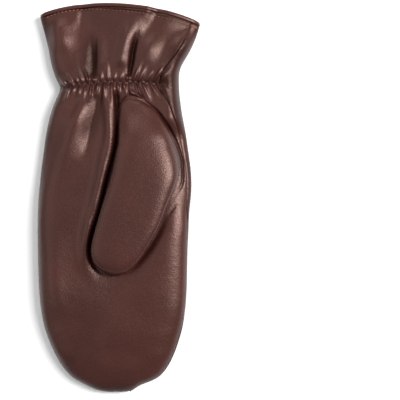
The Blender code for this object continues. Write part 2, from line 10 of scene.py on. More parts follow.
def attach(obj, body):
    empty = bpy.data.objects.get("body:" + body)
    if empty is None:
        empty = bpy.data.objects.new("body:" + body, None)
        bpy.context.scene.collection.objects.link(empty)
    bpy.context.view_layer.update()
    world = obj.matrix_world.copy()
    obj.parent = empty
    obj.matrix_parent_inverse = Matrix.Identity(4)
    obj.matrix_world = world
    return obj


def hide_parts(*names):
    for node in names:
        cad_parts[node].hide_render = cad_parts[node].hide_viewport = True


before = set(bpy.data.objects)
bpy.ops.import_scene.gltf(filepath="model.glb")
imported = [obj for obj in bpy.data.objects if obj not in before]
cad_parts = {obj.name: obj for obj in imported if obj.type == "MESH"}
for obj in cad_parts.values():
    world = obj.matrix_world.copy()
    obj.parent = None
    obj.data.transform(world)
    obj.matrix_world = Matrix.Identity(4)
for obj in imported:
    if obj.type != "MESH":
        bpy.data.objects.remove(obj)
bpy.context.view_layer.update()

bpy.ops.object.select_all(action='DESELECT')

# The stage: a wide white table top under the mitten in a bright room, lit by a tall soft window of
# light on the thumb side with weaker ones on the left and behind the cuff, seen from straight above.
mm = 0.001

bpy.ops.mesh.primitive_plane_add(size=6.0, location=(0, 0, -0.2 * mm))
table_top = bpy.context.object
table_top.name = "table_top"
white_table = bpy.data.materials.new("white_table")
white_table.use_nodes = True
table_shader = white_table.node_tree.nodes["Principled BSDF"]
table_shader.inputs["Base Color"].default_value = (0.95, 0.95, 0.95, 1)
table_shader.inputs["Roughness"].default_value = 0.9
table_shader.inputs["Specular IOR Level"].default_value = 0.1
table_top.data.materials.append(white_table)


def soft_light(name, place, width, height, power):
    """A rectangular softbox at place, turned towards the mitten."""
    bpy.ops.object.light_add(type='AREA', location=place)
    lamp = bpy.context.object
    lamp.name = name
    lamp.data.shape = 'RECTANGLE'
    lamp.data.size = width
    lamp.data.size_y = height
    lamp.data.energy = power
    lamp.rotation_euler = (-Vector(place)).to_track_quat('-Z', 'Y').to_euler()


soft_light("window_light", (1.00, 0.30, 1.28), width=0.42, height=1.1, power=35)
soft_light("left_light", (-1.1, 0.1, 1.3), width=1.6, height=1.6, power=7)
soft_light("cuff_light", (-0.25, 1.25, 1.0), width=0.9, height=0.6, power=5)

room = bpy.data.worlds.new("pale_room")
room.use_nodes = True
room.node_tree.nodes["Background"].inputs["Color"].default_value = (1, 1, 1, 1)
room.node_tree.nodes["Background"].inputs["Strength"].default_value = 0.44
bpy.context.scene.world = room
bpy.context.scene.view_settings.view_transform = 'Standard'

# The photograph shows the mitten at this many metres to the pixel. Its sides and the place of the
# mitten's middle in it, from its top left corner, are in pixels.
pixel = 0.672 * mm
photo_side = 400
mitten_across = 119.25
mitten_down = 197.65
picture_width = photo_side * pixel
lens_length = 100.0
film_width = 36.0
aim_x = (photo_side / 2 - mitten_across) * pixel
aim_y = (mitten_down - photo_side / 2) * pixel
leather_level = 12 * mm
camera_height = leather_level + picture_width * lens_length / film_width
bpy.ops.object.camera_add(location=(aim_x, aim_y, camera_height))
camera = bpy.context.object
camera.name = "overhead_camera"
camera.data.lens = lens_length
camera.data.sensor_width = film_width
camera.data.clip_start = 0.01
bpy.context.scene.camera = camera


# The palm: one piece of smooth sheep leather, drawn in at the wrist by elastic sewn under it, with
# a hole that the thumb is sewn round. Tucks cross the elastic, and soft folds run on from them.
def only(piece):
    """Make this the one selected and active object."""
    bpy.ops.object.select_all(action='DESELECT')
    piece.select_set(True)
    bpy.context.view_layer.objects.active = piece


def apply_modifier(piece, kind, **settings):
    modifier = piece.modifiers.new(kind.lower(), kind)
    for name, value in settings.items():
        setattr(modifier, name, value)
    only(piece)
    bpy.ops.object.modifier_apply(modifier=modifier.name)


def places_of(piece):
    places = np.empty(len(piece.data.vertices) * 3)
    piece.data.vertices.foreach_get("co", places)
    return places.reshape(-1, 3)


def normals_of(piece):
    normals = np.empty(len(piece.data.vertices) * 3)
    piece.data.vertices.foreach_get("normal", normals)
    return normals.reshape(-1, 3)


side_seam_level = 8.7 * mm
half_width = 55 * mm
half_length = 130 * mm
side_sharpness = 6
tip_sharpness = 12


def faces_outwards(piece):
    """True at the points of a hollow wall's outer face. The hollow is wide and flat, so a point's
    height tells this over most of it, and its place on the plan only at the sides and the tip."""
    places, normals = places_of(piece), normals_of(piece)
    across = places[:, 0] / half_width
    sideways = np.sign(across) * np.abs(across) ** side_sharpness
    tipwards = np.clip(-places[:, 1] / half_length, 0, 1) ** tip_sharpness
    upwards = (places[:, 2] - side_seam_level) / side_seam_level
    return normals[:, 0] * sideways - normals[:, 1] * tipwards + normals[:, 2] * upwards > 0


quad_angle = math.radians(70)
rim_angle = math.radians(62)


def cage_of(node_name, name):
    """A CAD wall's mesh, with its loose triangles merged and paired into quads, and sharp rims held."""
    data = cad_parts[node_name].data.copy()
    data.name = name
    data.materials.clear()
    piece = bpy.data.objects.new(name, data)
    bpy.context.scene.collection.objects.link(piece)
    only(piece)
    bpy.ops.object.mode_set(mode='EDIT')
    bpy.ops.mesh.select_all(action='SELECT')
    bpy.ops.mesh.remove_doubles(threshold=1e-6)
    bpy.ops.mesh.tris_convert_to_quads(face_threshold=quad_angle, shape_threshold=quad_angle)
    bpy.ops.mesh.select_all(action='DESELECT')
    bpy.ops.mesh.select_mode(type='EDGE')
    bpy.ops.mesh.edges_select_sharp(sharpness=rim_angle)
    bpy.ops.object.mode_set(mode='OBJECT')
    rims = np.zeros(len(data.edges), dtype=bool)
    data.edges.foreach_get("select", rims)
    creases = data.attributes.new("crease_edge", 'FLOAT', 'EDGE')
    creases.data.foreach_set("value", rims.astype(float))
    outer = data.attributes.new("outer", 'FLOAT', 'POINT')
    outer.data.foreach_set("value", faces_outwards(piece).astype(float))
    return piece


def set_places(piece, places):
    piece.data.vertices.foreach_set("co", places.ravel())
    piece.data.update()


def edge_ends(piece):
    ends = np.empty(len(piece.data.edges) * 2, dtype=int)
    piece.data.edges.foreach_get("vertices", ends)
    return ends.reshape(-1, 2)


def smoothstep(values, low, high):
    share = np.clip((values - low) / (high - low), 0.0, 1.0)
    return share * share * (3.0 - 2.0 * share)


def bell(values, reach):
    """1 at nothing, falling away smoothly on both sides within about twice the reach."""
    return np.exp(-(values / reach) ** 2)


def iron_flat(piece, near, times):
    """Even out the heights of the cage where near is 1, so that finer folds can be laid in."""
    ends = edge_ends(piece)
    for turn in range(times):
        places = places_of(piece)
        sums = np.zeros(len(places))
        counts = np.zeros(len(places))
        for this, other in ((0, 1), (1, 0)):
            np.add.at(sums, ends[:, this], places[ends[:, other], 2])
            np.add.at(counts, ends[:, this], 1)
        share = near(places)
        places[:, 2] += share * (sums / counts - places[:, 2])
        set_places(piece, places)


def outer_share(piece):
    """1 at the points of a hollow wall's outer face, 0 at those of its inner face."""
    outer = np.empty(len(piece.data.vertices))
    piece.data.attributes["outer"].data.foreach_get("value", outer)
    return outer


def palm_side_share(level):
    """0 up to the side seam's height, 1 from a little above it."""
    return smoothstep(level, side_seam_level + 1 * mm, side_seam_level + 4 * mm)


def cut_edges(piece, chosen, cuts):
    """Divide the chosen edges evenly, and the faces between them."""
    data = piece.data
    picked = np.zeros(len(data.vertices), dtype=bool)
    picked[edge_ends(piece)[chosen].ravel()] = True
    only(piece)
    bpy.context.tool_settings.mesh_select_mode = (False, True, False)
    data.polygons.foreach_set("select", np.zeros(len(data.polygons), dtype=bool))
    data.vertices.foreach_set("select", picked)
    data.edges.foreach_set("select", chosen)
    bpy.ops.object.mode_set(mode='EDIT')
    bpy.ops.mesh.subdivide(number_cuts=cuts)
    bpy.ops.object.mode_set(mode='OBJECT')


def refine(piece, wanted, longest):
    """Cut the outer face's edges that are longer than this where wanted is true of their middles."""
    places = places_of(piece)
    ends = edge_ends(piece)
    outer = outer_share(piece)[ends].min(axis=1) > 0.5
    lengths = np.linalg.norm(places[ends[:, 0]] - places[ends[:, 1]], axis=1)
    middles = places[ends].mean(axis=1)
    for cuts in (3, 2, 1):
        chosen = outer & (lengths > cuts * longest) & wanted(middles)
        if chosen.any():
            cut_edges(piece, chosen, cuts)
            return


def rounded(path, times=3):
    """A path with its corners cut, again and again, until it bends smoothly."""
    points = np.array(path) * mm
    for turn in range(times):
        nearer = points[:-1] * 0.75 + points[1:] * 0.25
        farther = points[:-1] * 0.25 + points[1:] * 0.75
        middle = np.stack((nearer, farther), axis=1).reshape(-1, 2)
        points = np.vstack((points[:1], middle, points[-1:]))
    return points


def beside_path(x, y, path):
    """Each point's distance from a path, less than 0 on the right hand of one who walks along it,
    and the share of the path's length that it lies at."""
    lengths = np.linalg.norm(np.diff(path, axis=0), axis=1)
    starts = np.concatenate(([0.0], np.cumsum(lengths)[:-1]))
    nearest = np.full(len(x), np.inf)
    share = np.zeros(len(x))
    for start, end, length, before in zip(path[:-1], path[1:], lengths, starts):
        run = (end - start) / length
        along = np.clip((x - start[0]) * run[0] + (y - start[1]) * run[1], 0.0, length)
        away = np.hypot(x - start[0] - along * run[0], y - start[1] - along * run[1])
        closer = away < np.abs(nearest)
        left_hand = (y - start[1]) * run[0] - (x - start[0]) * run[1] > 0
        nearest = np.where(closer, np.where(left_hand, away, -away), nearest)
        share = np.where(closer, (before + along) / lengths.sum(), share)
    return nearest, share


def beside_crease(x, y, crease):
    """Each point's distance from a fold, as a share of its reach on that side, and the fold's
    strength there: 1 along the middle of its path, fading out at both ends."""
    away, share = beside_path(x, y, rounded(crease.path))
    reach = np.where(away > 0, crease.thumb_reach, crease.little_reach) * mm
    strength = smoothstep(share, 0.0, crease.ease_in) * (1 - smoothstep(share, 1 - crease.ease_out, 1.0))
    return away / reach, strength


def crease_heights(x, y, creases):
    """What a table of folds adds to the height at each point."""
    heights = np.zeros(len(x))
    for crease in creases:
        away, strength = beside_crease(x, y, crease)
        heights += crease.height * mm * strength * bell(away, 1.0)
    return heights


# Painted shade: folds and grooves are painted darker and less glossy where shade falls in them
shade_spread = 1.5


def painted_fold_shade(x, y, creases):
    """How much shade is painted on the leather at each point, down in the folds of a table, from 0 to 1.
    The painted shade spreads farther than the fold itself."""
    shade = np.zeros(len(x))
    for crease in creases:
        away, strength = beside_crease(x, y, crease)
        shade = np.maximum(shade, crease.dark * strength * bell(away, shade_spread))
    return shade


wave_count = 7


def unevenness(x, y, size, seed):
    """Gentle waves in all directions, as no leather lies quite flat; about one high."""
    dice = np.random.default_rng(seed)
    total = np.zeros(len(x))
    for turn in range(wave_count):
        angle = dice.uniform(0, 2 * math.pi)
        wave = size * dice.uniform(0.6, 1.7)
        phase = dice.uniform(0, 2 * math.pi)
        total += np.sin((x * math.cos(angle) + y * math.sin(angle)) * 2 * math.pi / wave + phase)
    return total / math.sqrt(wave_count)


# Lines on the plan, in millimetres: the mouth's edge, the binding's edge, the row of stitches along
# it, and the seam between the palm and the thumb, from the left of the arch round to the crotch
mouth_edge = ((-53.9, 122.7), (-46.5, 126.8), (-33.1, 129.1), (-19.7, 130.1), (0.5, 129.1),
              (20.7, 126.1), (40.8, 121.4), (54.6, 117.4))
binding_reach = 2.9
binding_edge = tuple((x, y - binding_reach) for x, y in mouth_edge)
hem_stitch_row = ((-49, 120.6), (-41, 123.5), (-32, 125.2), (-20, 126.1), (-6, 125.4), (8, 124.3),
                  (20, 122.6), (31, 120.2), (40, 117.8), (46, 116.0))
thumb_seam = ((-0.7, 60), (1.0, 64.3), (4.5, 66), (8.7, 66.4), (15.6, 64.3), (21.6, 60.9), (26.7, 56.6),
              (31.9, 49.7), (36.1, 42), (39.6, 34.2), (41.8, 25.7), (42.2, 18.9), (41.8, 10.3), (38.7, 4.3),
              (34.4, -1.6))

# Folds of the palm: how far each reaches on its little-finger side and on its thumb side, its height,
# the shares of its length over which it comes up and dies out, how much shade is painted into it as
# darker, duller leather, and its path on the plan from the cuff towards the fingertips; lengths are in
# millimetres
Crease = namedtuple("Crease", "name little_reach thumb_reach height ease_in ease_out dark path")
mouth_hollows = (
    Crease("hollow filled in, little side", 3.2, 3.2, 1.2, 0.1, 0.67, 0.0,
           ((-27.1, 133), (-26.5, 112))),
    Crease("hollow filled in, thumb side", 4.6, 4.6, 1.7, 0.1, 0.67, 0.0,
           ((20.7, 133), (19.5, 112))),
)
palm_creases = mouth_hollows + (
    Crease("rolled edge of the thumb-side seam", 0.8, 0.7, 0.5, 0.1, 0.2, 0.0,
           ((46.5, 115.3), (45.2, 110.6), (39.8, 99.9), (34.4, 90.5), (27.7, 81.7))),
    Crease("cuff valley, little side", 3.4, 2.2, -1.6, 0.6, 0.05, 0.88,
           ((-16.8, 114), (-16.7, 98), (-16.8, 79))),
    Crease("cuff valley, thumb side", 1.5, 1.2, -3.2, 0.45, 0.05, 0.85,
           ((13.4, 114), (11.6, 106), (9.6, 98), (8.6, 90), (6.8, 80))),
    Crease("bank of the first valley", 1.4, 5.0, 0.8, 0.3, 0.2, 0.0,
           ((-13.5, 112), (-13.4, 98), (-13.8, 84))),
    Crease("bank of the second valley", 1.6, 5.0, 0.7, 0.3, 0.2, 0.0,
           ((16.5, 110), (13.4, 98), (12.0, 86))),
    Crease("cuff ridge beside the second valley", 4.0, 5.0, 2.0, 0.4, 0.2, 0.0,
           ((9.0, 120), (6.3, 111), (4.4, 104), (2.7, 98), (0.9, 92), (-0.4, 85))),
    Crease("cuff swell, little side", 5.0, 8.0, 3.0, 0.3, 0.5, 0.0,
           ((-42, 121), (-41.5, 111), (-39.5, 104), (-36, 95))),
    Crease("cuff swell, thumb side", 4.5, 5.5, 1.3, 0.5, 0.5, 0.0,
           ((25, 111), (20, 99), (15, 87))),
    Crease("hollow under the thumb-side swell", 4.8, 4.5, -0.9, 0.5, 0.5, 0.0,
           ((37.5, 110), (31, 98), (24, 86))),
    Crease("palm ridge", 6.5, 8.5, 1.8, 0.08, 0.5, 0.0,
           ((-18.6, 74), (-21.7, 61), (-28, 50), (-33.5, 37), (-39.5, 21), (-42, 6))),
    Crease("valley inside the palm ridge", 3.4, 3.0, -1.1, 0.1, 0.8, 0.45,
           ((-13.8, 72), (-14.0, 64), (-15.5, 54), (-19, 42), (-24, 28), (-28, 14))),
    Crease("valley outside the palm ridge", 3.4, 3.4, -0.9, 0.2, 0.6, 0.0,
           ((-26, 70), (-31, 58), (-37, 42))),
    Crease("ridge beside the thumb", 3.8, 4.8, 2.0, 0.05, 0.35, 0.0,
           ((-8.2, 79), (-7.6, 73), (-6.4, 56), (-7.0, 39), (-10.0, 26), (-12.8, 13), (-15.4, 0),
            (-17.2, -10), (-20.2, -19), (-22.4, -28), (-23.3, -36), (-22.6, -43), (-19.0, -51),
            (-13.0, -58), (-6.0, -63))),
    Crease("gap beside the thumb", 1.1, 2.0, -2.6, 0.05, 0.2, 0.96,
           ((-2.0, 73), (-1.3, 64), (-0.9, 55), (-0.8, 47), (-1.3, 38), (-2.8, 30), (-5.0, 21),
            (-7.4, 13), (-9.4, 4), (-12.0, -10), (-15.4, -19), (-18.4, -27), (-19.4, -36),
            (-18.0, -43), (-13.2, -50), (-5.0, -54))),
    Crease("turned edge beside the thumb", 0.7, 0.7, 1.2, 0.3, 0.4, 0.0,
           ((0.2, 62), (-0.1, 55), (-0.3, 47))),
    Crease("fold over the thumb's arch", 1.0, 1.0, 2.1, 0.2, 0.3, 0.0,
           ((6.2, 71.0), (9.8, 69.6), (13.4, 67.6), (17.0, 65.6))),
    Crease("crease into the arch", 0.9, 0.9, -1.4, 0.1, 0.3, 0.6,
           ((12.2, 77.5), (12.6, 73), (15.0, 68.2), (18.5, 64.0))),
    Crease("seam round the thumb", 0.8, 0.8, -1.1, 0.08, 0.22, 0.75, thumb_seam),
    Crease("pucker at the crotch", 0.7, 0.7, -0.4, 0.3, 0.5, 0.4,
           ((38.5, -3.5), (34.6, -8.0), (31.0, -14))),
    Crease("hollow beside the thumb", 3.2, 3.2, -1.0, 0.45, 0.4, 0.0,
           ((34, -8), (26, -24), (17, -38), (9, -47))),
    Crease("swell, little finger", 5.0, 7.5, 1.2, 0.4, 0.4, 0.0,
           ((-45, -8), (-44.5, -54), (-39, -80), (-31, -100))),
    Crease("shadow line right of the thumb", 1.4, 1.7, -0.6, 0.4, 0.3, 0.35,
           ((35, -4), (32, -10), (22.5, -30), (15.6, -40), (8.7, -48), (1.9, -52.2))),
    Crease("hollow at the fingertips", 8.0, 8.0, -0.5, 0.3, 0.3, 0.0,
           ((-14, -104), (4, -106), (18, -98))),
    Crease("groove under the binding", 0.6, 0.6, -0.5, 0.02, 0.02, 0.7, binding_edge),
    Crease("line of the elastic", 0.7, 0.7, -0.2, 0.05, 0.05, 0.5,
           ((-39, 73.4), (-25, 75.5), (-10, 76.7), (6, 77.2), (20, 76.9), (30, 76.2))),
    Crease("groove of the topstitching", 0.8, 0.8, -0.3, 0.05, 0.05, 0.2, hem_stitch_row),
)

# The tucks at the wrist lie alternately on the cuff's side and on the palm's side of the elastic
tuck_pitch = 4.15 * mm
tuck_width = 0.85 * mm
tuck_height = 1.7 * mm
cuff_tuck_length = 10 * mm
palm_tuck_length = 11.5 * mm
gather_left = -39.5 * mm
gather_right = 30.5 * mm
gather_top = 77.2 * mm
gather_top_place = 6 * mm
gather_bow = 3.6 * mm
gather_half_length = 45 * mm
gather_groove = 1.5 * mm
gather_groove_reach = 1.7 * mm
fan_middle = -6 * mm
fan_reach = 40 * mm
fan_lean = 0.85
palm_fan_share = 0.8
tuck_seed = 11
tuck_start = -1.6 * mm
tuck_full = 0.9 * mm


def gather_line(x):
    """y of the elastic, which bows a little towards the cuff."""
    return gather_top - gather_bow * ((x - gather_top_place) / gather_half_length) ** 2


def tuck_heights(x, y):
    """The small puckered ridges of the gathered wrist, no two of them alike."""
    dice = np.random.default_rng(tuck_seed)
    away = y - gather_line(x)
    across = smoothstep(x, gather_left - 2 * mm, gather_left + 3 * mm)
    across *= 1 - smoothstep(x, gather_right - 1 * mm, gather_right + 3 * mm)
    heights = -gather_groove * bell(away, gather_groove_reach)
    tuck = gather_left
    side = 1
    while tuck < gather_right:
        middle = tuck + dice.uniform(-0.35, 0.35) * mm
        up = side * away
        length = (cuff_tuck_length if side > 0 else palm_tuck_length) * dice.uniform(0.6, 1.35)
        lean = fan_lean * (middle - fan_middle) / fan_reach + dice.uniform(-0.12, 0.12)
        drift = middle + lean * np.clip(up, 0, length) * (1.0 if side > 0 else palm_fan_share)
        width = tuck_width * dice.uniform(0.8, 1.25) * (1 + 0.9 * np.clip(up / length, 0, 1))
        strength = tuck_height * dice.uniform(0.65, 1.3)
        presence = smoothstep(up, tuck_start, tuck_full) * (1 - smoothstep(up, 0.25 * length, 1.25 * length))
        heights += strength * presence * bell(x - drift, width)
        tuck += tuck_pitch / 2 * dice.uniform(0.85, 1.2)
        side = -side
    return across * heights


outline_step = 6 * mm
outline_overlap = 1.2


def outline_at(y):
    """x of the mitten's two edges at each y, from the CAD panels, taken in overlapping steps."""
    spots = np.vstack([places_of(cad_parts[name]) for name in ("palm_panel", "back_panel")])
    rows = np.arange(spots[:, 1].min() + outline_step / 2, spots[:, 1].max(), outline_step)
    near = [spots[np.abs(spots[:, 1] - row) < outline_overlap * outline_step, 0] for row in rows]
    left = np.interp(y, rows, [row.min() for row in near])
    right = np.interp(y, rows, [row.max() for row in near])
    return left, right


# Fullness of a rounded section: 2 is an ellipse, and more is flatter with tighter sides
sewn_fullness = 3.2
pressed_fullness = 8.0
outermost = 0.985
wrist_shoulder = 3.2 * mm
shoulder_place = 0.84
shoulder_reach = 0.16


def before_cuff(y):
    """1 up to the wrist, fading out over the lower half of the cuff."""
    return 1 - smoothstep(y, 98 * mm, 114 * mm)


def fill_out(piece):
    """Make the fingers and the wrist flatter on top, with tighter sides, as pressed leather is, and
    raise a shoulder along the thumb side of the wrist."""
    places = places_of(piece)
    left, right = outline_at(places[:, 1])
    across = np.clip(np.abs(places[:, 0] - (left + right) / 2) / ((right - left) / 2), 0, outermost)
    growth = np.sqrt((1 - across ** pressed_fullness) / (1 - across ** sewn_fullness)) - 1
    fingers = 1 - smoothstep(places[:, 1], -12 * mm, 18 * mm)
    wrist = smoothstep(places[:, 1], 40 * mm, 54 * mm) * before_cuff(places[:, 1])
    growth *= fingers + wrist
    above = np.maximum(places[:, 2] - side_seam_level, 0)
    places[:, 2] += above * growth
    shoulder = wrist * bell(across - shoulder_place, shoulder_reach) * (places[:, 0] > 0)
    places[:, 2] += wrist_shoulder * shoulder * smoothstep(above, 0, 4 * mm)
    set_places(piece, places)


# How far the fingertips' end is let out at each place across, in millimetres; smoothing had drawn it
# in, and it is blunt, with a corner on either side and one more on the thumb side
TipSpot = namedtuple("TipSpot", "across let_out")
tip_spots = (
    TipSpot(-48, 0.0), TipSpot(-40, 1.6), TipSpot(-31, 2.6), TipSpot(-24, 2.3), TipSpot(-15.5, 2.1),
    TipSpot(-3, 1.6), TipSpot(8.7, 2.9), TipSpot(14, 1.9), TipSpot(26, 3.8), TipSpot(33, 3.2),
    TipSpot(42, 1.0), TipSpot(46, 0.0),
)
thumb_side_let_out = 1.3 * mm
little_side_let_out = 0.7 * mm


def let_out(piece):
    """Give the finger part back the width and the blunt end that smoothing took from it."""
    places = places_of(piece)
    x, y = places[:, 0], places[:, 1]
    finger_part = 1 - smoothstep(y, 0, 40 * mm)
    thumb_side = smoothstep(x, 15 * mm, 42 * mm)
    little_side = smoothstep(-x, 15 * mm, 42 * mm)
    spots_across = [spot.across * mm for spot in tip_spots]
    by_place = np.interp(x, spots_across, [spot.let_out * mm for spot in tip_spots])
    places[:, 1] -= by_place * smoothstep(-y, 84 * mm, 116 * mm)
    places[:, 0] += finger_part * (thumb_side_let_out * thumb_side - little_side_let_out * little_side)
    set_places(piece, places)


leather_thickness = 1.6 * mm
# How much shade is painted onto the low sides of the panels, darker and less glossy
side_shade = 0.6
wave_height = 0.2 * mm
wave_size = 42 * mm
wave_seed = 5


def fold_palm_side(piece):
    """Lay the folds, tucks and gentle unevenness into the side that faces up, and mark where shade
    is painted on the leather, darker and less glossy: in the folds and along its low sides."""
    places = places_of(piece)
    x, y = places[:, 0], places[:, 1]
    level = places[:, 2] + leather_thickness * (1 - outer_share(piece))
    on_top = palm_side_share(level)
    lift = crease_heights(x, y, palm_creases) + wave_height * unevenness(x, y, wave_size, wave_seed)
    places[:, 2] += on_top * (lift + tuck_heights(x, y))
    set_places(piece, places)
    # Painted shade: the low sides and the folds are painted darker and less glossy
    at_side = smoothstep(level, 1 * mm, 4 * mm) * (1 - smoothstep(level, 9 * mm, 15 * mm))
    dark = np.maximum(on_top * painted_fold_shade(x, y, palm_creases), side_shade * at_side)
    shade = piece.data.attributes.new("painted_fold_shade", 'FLOAT', 'POINT')
    shade.data.foreach_set("value", dark)


def tree_of(piece):
    """A search tree of an object's faces."""
    faces = [list(face.vertices) for face in piece.data.polygons]
    return BVHTree.FromPolygons([vertex.co for vertex in piece.data.vertices], faces)


def distance_to(places, tree, farthest):
    """Each place's distance from a surface, or the farthest if it is farther than that."""
    distances = np.full(len(places), farthest)
    for index, place in enumerate(places):
        found = tree.find_nearest(Vector(place), farthest)
        if found[0] is not None:
            distances[index] = found[3]
    return distances


negligible = 0.001


def roll_in(piece, trees, depth, reach):
    """Turn the leather in along the seams, where it comes close to another panel."""
    places, normals = places_of(piece), normals_of(piece)
    for tree in trees:
        near = bell(distance_to(places, tree, 3 * reach), reach)
        near *= (near > negligible) * outer_share(piece)
        places -= normals * (depth * near)[:, None]
    set_places(piece, places)


share_closed = 0.55


def close_seam(piece, tree, gap):
    """Bring the edge that lies within a gap of the other panel just past halfway to it."""
    places = places_of(piece)
    for index, place in enumerate(places):
        found = tree.find_nearest(Vector(place), gap)
        if found[0] is not None:
            places[index] += share_closed * (np.array(found[0]) - place)
    set_places(piece, places)


def leather_grain_group():
    """Pores, fine creasing, mottling and rubbing of dressed sheep leather, on object coordinates."""
    group = bpy.data.node_groups.new("leather_grain", 'ShaderNodeTree')
    face = group.interface
    face.new_socket("Pores", in_out='INPUT', socket_type='NodeSocketFloat').default_value = 1500.0
    face.new_socket("Height", in_out='OUTPUT', socket_type='NodeSocketFloat')
    face.new_socket("Mottle", in_out='OUTPUT', socket_type='NodeSocketFloat')
    face.new_socket("Rub", in_out='OUTPUT', socket_type='NodeSocketFloat')
    nodes, links = group.nodes, group.links
    inputs = nodes.new('NodeGroupInput')
    outputs = nodes.new('NodeGroupOutput')
    spot = nodes.new('ShaderNodeTexCoord')

    pores = nodes.new('ShaderNodeTexVoronoi')
    pores.feature = 'SMOOTH_F1'
    links.new(spot.outputs["Object"], pores.inputs["Vector"])
    links.new(inputs.outputs["Pores"], pores.inputs["Scale"])
    creasing = nodes.new('ShaderNodeTexNoise')
    creasing.inputs["Scale"].default_value = 320.0
    creasing.inputs["Detail"].default_value = 5.0
    creasing.inputs["Roughness"].default_value = 0.6
    links.new(spot.outputs["Object"], creasing.inputs["Vector"])
    swells = nodes.new('ShaderNodeTexNoise')
    swells.inputs["Scale"].default_value = 75.0
    swells.inputs["Detail"].default_value = 2.0
    links.new(spot.outputs["Object"], swells.inputs["Vector"])
    fine = nodes.new('ShaderNodeMath')
    fine.operation = 'MULTIPLY_ADD'
    links.new(creasing.outputs["Fac"], fine.inputs[0])
    fine.inputs[1].default_value = 1.8
    links.new(pores.outputs["Distance"], fine.inputs[2])
    height = nodes.new('ShaderNodeMath')
    height.operation = 'MULTIPLY_ADD'
    links.new(swells.outputs["Fac"], height.inputs[0])
    height.inputs[1].default_value = 3.0
    links.new(fine.outputs[0], height.inputs[2])
    links.new(height.outputs[0], outputs.inputs["Height"])

    mottle = nodes.new('ShaderNodeTexNoise')
    mottle.inputs["Scale"].default_value = 24.0
    mottle.inputs["Detail"].default_value = 4.0
    mottle.inputs["Distortion"].default_value = 0.5
    links.new(spot.outputs["Object"], mottle.inputs["Vector"])
    links.new(mottle.outputs["Fac"], outputs.inputs["Mottle"])

    rub = nodes.new('ShaderNodeTexNoise')
    rub.inputs["Scale"].default_value = 900.0
    rub.inputs["Detail"].default_value = 3.0
    links.new(spot.outputs["Object"], rub.inputs["Vector"])
    links.new(rub.outputs["Fac"], outputs.inputs["Rub"])
    return group


leather_grain = leather_grain_group()


def spread(material, source, low, high, to_low, to_high):
    """A map range node that takes source from low and high to the given values."""
    node = material.node_tree.nodes.new('ShaderNodeMapRange')
    node.inputs["From Min"].default_value = low
    node.inputs["From Max"].default_value = high
    node.inputs["To Min"].default_value = to_low
    node.inputs["To Max"].default_value = to_high
    material.node_tree.links.new(source, node.inputs["Value"])
    return node.outputs["Result"]


# The colour and gloss of the shade painted into folds
painted_shade_tone = (0.008, 0.0025, 0.002)
gloss_in_painted_shade = 0.04
gloss_outside = 0.54
rub_spread = 0.06


def leather(name, dark, light, roughness, bump_depth, gloss_tint):
    """Leather, or waxed thread, that varies between a dark and a light tone, with pores and fine
    creases. Shade is painted on it, darker and duller, where the mesh's shade attribute is set."""
    material = bpy.data.materials.new(name)
    material.use_nodes = True
    nodes, links = material.node_tree.nodes, material.node_tree.links
    shader = nodes["Principled BSDF"]
    grain = nodes.new('ShaderNodeGroup')
    grain.node_tree = leather_grain
    tone = nodes.new('ShaderNodeMix')
    tone.data_type = 'RGBA'
    tone.inputs["A"].default_value = (*dark, 1)
    tone.inputs["B"].default_value = (*light, 1)
    links.new(spread(material, grain.outputs["Mottle"], 0.35, 0.65, 0.0, 1.0), tone.inputs["Factor"])
    # Painted shade: darker, duller leather where the mesh's attribute marks it
    shade = nodes.new('ShaderNodeAttribute')
    shade.attribute_name = "painted_fold_shade"
    painted_shade_mix = nodes.new('ShaderNodeMix')
    painted_shade_mix.data_type = 'RGBA'
    links.new(shade.outputs["Fac"], painted_shade_mix.inputs["Factor"])
    links.new(tone.outputs["Result"], painted_shade_mix.inputs["A"])
    painted_shade_mix.inputs["B"].default_value = (*painted_shade_tone, 1)
    links.new(painted_shade_mix.outputs["Result"], shader.inputs["Base Color"])
    shine = spread(material, shade.outputs["Fac"], 0.0, 1.0, gloss_outside, gloss_in_painted_shade)
    links.new(shine, shader.inputs["Specular IOR Level"])
    smoothest, roughest = roughness - rub_spread, roughness + rub_spread
    rubbed = spread(material, grain.outputs["Rub"], 0.3, 0.7, smoothest, roughest)
    links.new(rubbed, shader.inputs["Roughness"])
    bump = nodes.new('ShaderNodeBump')
    bump.inputs["Strength"].default_value = 0.5
    bump.inputs["Distance"].default_value = bump_depth
    links.new(grain.outputs["Height"], bump.inputs["Height"])
    links.new(bump.outputs["Normal"], shader.inputs["Normal"])
    shader.inputs["Specular Tint"].default_value = (*gloss_tint, 1)
    return material


warm_gloss = (1.0, 0.68, 0.59)
brown_leather = leather("brown_leather", dark=(0.027, 0.0061, 0.0046), light=(0.040, 0.0094, 0.0071),
                        roughness=0.36, bump_depth=0.14 * mm, gloss_tint=warm_gloss)
suede_side = leather("suede_side", dark=(0.120, 0.066, 0.046), light=(0.160, 0.092, 0.066),
                     roughness=0.90, bump_depth=0.25 * mm, gloss_tint=warm_gloss)


def two_sided(piece):
    """Smooth leather on the outer face of a wall and its suede side within."""
    piece.data.materials.append(brown_leather)
    piece.data.materials.append(suede_side)
    outer = outer_share(piece)
    sides = [0 if max(outer[list(face.vertices)]) > 0.5 else 1 for face in piece.data.polygons]
    piece.data.polygons.foreach_set("material_index", sides)
    only(piece)
    bpy.ops.object.shade_smooth()


def near_gathers(places):
    """1 where the cage carries the CAD's even tucks and the cuff's coarse folds."""
    near = smoothstep(places[:, 1], 54 * mm, 66 * mm) * (1 - smoothstep(places[:, 1], 112 * mm, 119 * mm))
    return near * smoothstep(places[:, 2], 8 * mm, 11 * mm)


def everywhere(places):
    """True of every place."""
    return np.full(len(places), True)


gathered_reach = 11 * mm
fine_reach = 3
fine_spread = 2.2
plain_edge = 1.4 * mm
fold_edge = 0.6 * mm
gather_ironing = 14


